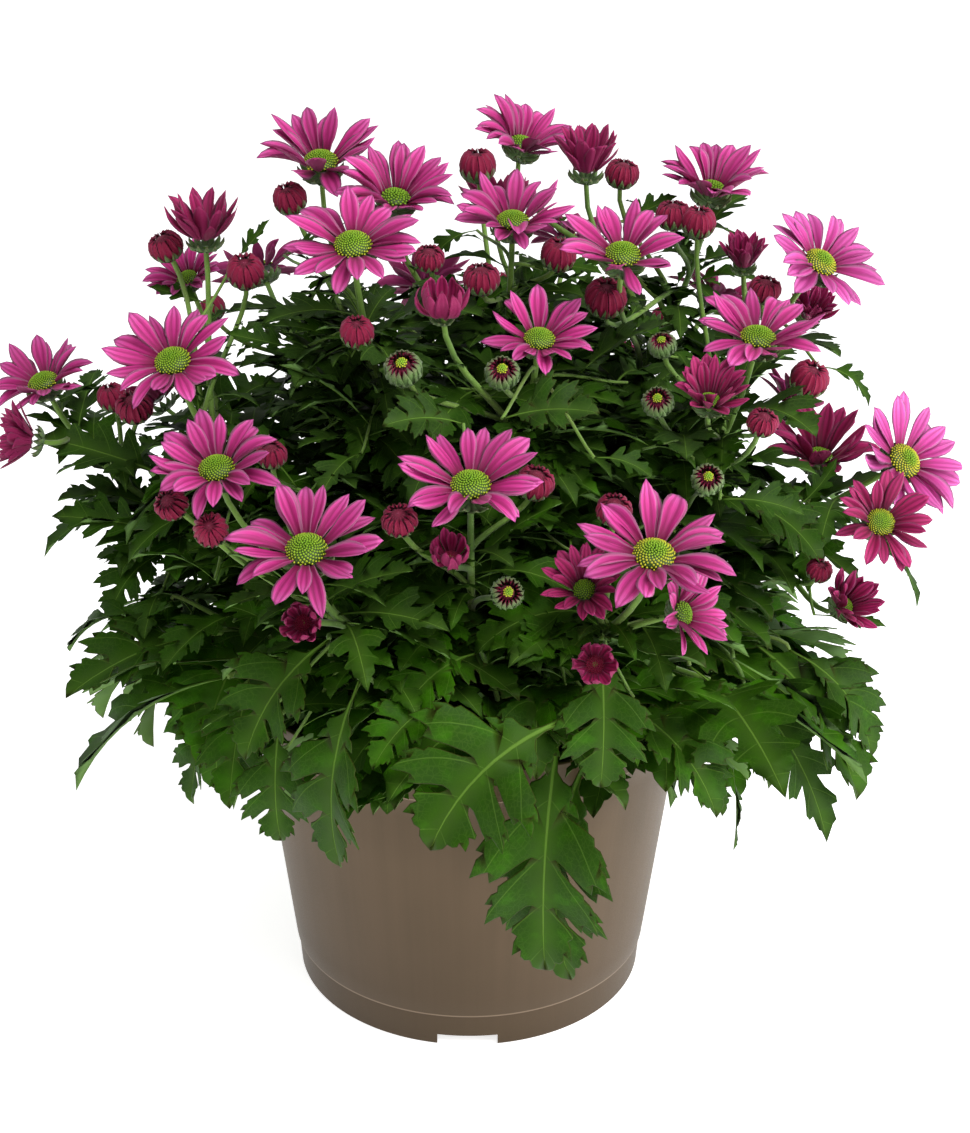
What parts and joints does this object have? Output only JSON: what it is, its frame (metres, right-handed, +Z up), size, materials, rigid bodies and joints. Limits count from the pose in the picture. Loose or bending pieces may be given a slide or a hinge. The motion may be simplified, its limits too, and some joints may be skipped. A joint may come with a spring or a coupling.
{
  "type": "pot chrysanthemum",
  "caption": "Flowering chrysanthemum in a round tapered plastic pot: a dome of magenta petalled flowers and buds over dark lobed leaves that hang past the rim.",
  "frame": {"origin": "the middle of the pot's foot, on the surface that the pot stands on", "axes": "+Z up, -Y towards the side that the picture shows, +X towards that side's right"},
  "size_m": [0.3977, 0.3664, 0.3851],
  "materials": {
    "pot_plastic": "satin taupe injection-moulded plastic, faintly streaked",
    "potting_soil": "moist dark potting mix with bark crumbs",
    "foliage": "dark green living leaves, stems and bud bracts with a dull surface",
    "open_petals": "magenta-pink living petals, grooved along, with a soft velvet sheen",
    "young_petals": "crimson young petals still folded over the flower",
    "disc_florets": "tight yellow-green tubular florets"
  },
  "bodies": {
    "root": {"pot": "pot_plastic", "soil": "potting_soil", "plant_left": "foliage", "plant_front": "foliage", "plant_right": "foliage", "plant_crown": "foliage", "plant_back": "foliage", "bloom_01": "open_petals", "bloom_02": "open_petals", "bloom_03": "open_petals", "bloom_04": "open_petals", "bloom_05": "open_petals", "bloom_06": "open_petals", "bloom_07": "open_petals", "bloom_08": "open_petals", "bloom_09": "open_petals", "bloom_10": "open_petals", "bloom_11": "open_petals", "bloom_12": "open_petals", "bloom_13": "open_petals", "bloom_14": "open_petals", "bloom_15": "open_petals", "bloom_16": "open_petals", "bloom_17": "open_petals", "bloom_18": "open_petals", "bloom_19": "open_petals", "bloom_20": "open_petals", "bloom_21": "open_petals", "bloom_22": "open_petals", "bloom_23": "open_petals", "bloom_24": "open_petals", "bloom_25": "open_petals", "bloom_26": "open_petals", "bloom_27": "open_petals", "disc_01": "disc_florets", "disc_02": "disc_florets", "disc_04": "disc_florets", "disc_05": "disc_florets", "disc_06": "disc_florets", "disc_07": "disc_florets", "disc_08": "disc_florets", "disc_09": "disc_florets", "disc_10": "disc_florets", "disc_12": "disc_florets", "disc_13": "disc_florets", "disc_14": "disc_florets", "disc_15": "disc_florets", "disc_16": "disc_florets", "disc_17": "disc_florets", "disc_20": "disc_florets", "disc_21": "disc_florets", "disc_22": "disc_florets", "disc_23": "disc_florets", "crown_01": "young_petals", "crown_02": "young_petals", "crown_03": "young_petals", "crown_04": "young_petals", "crown_05": "young_petals", "crown_06": "young_petals", "crown_07": "young_petals"}
  },
  "joints": []
}
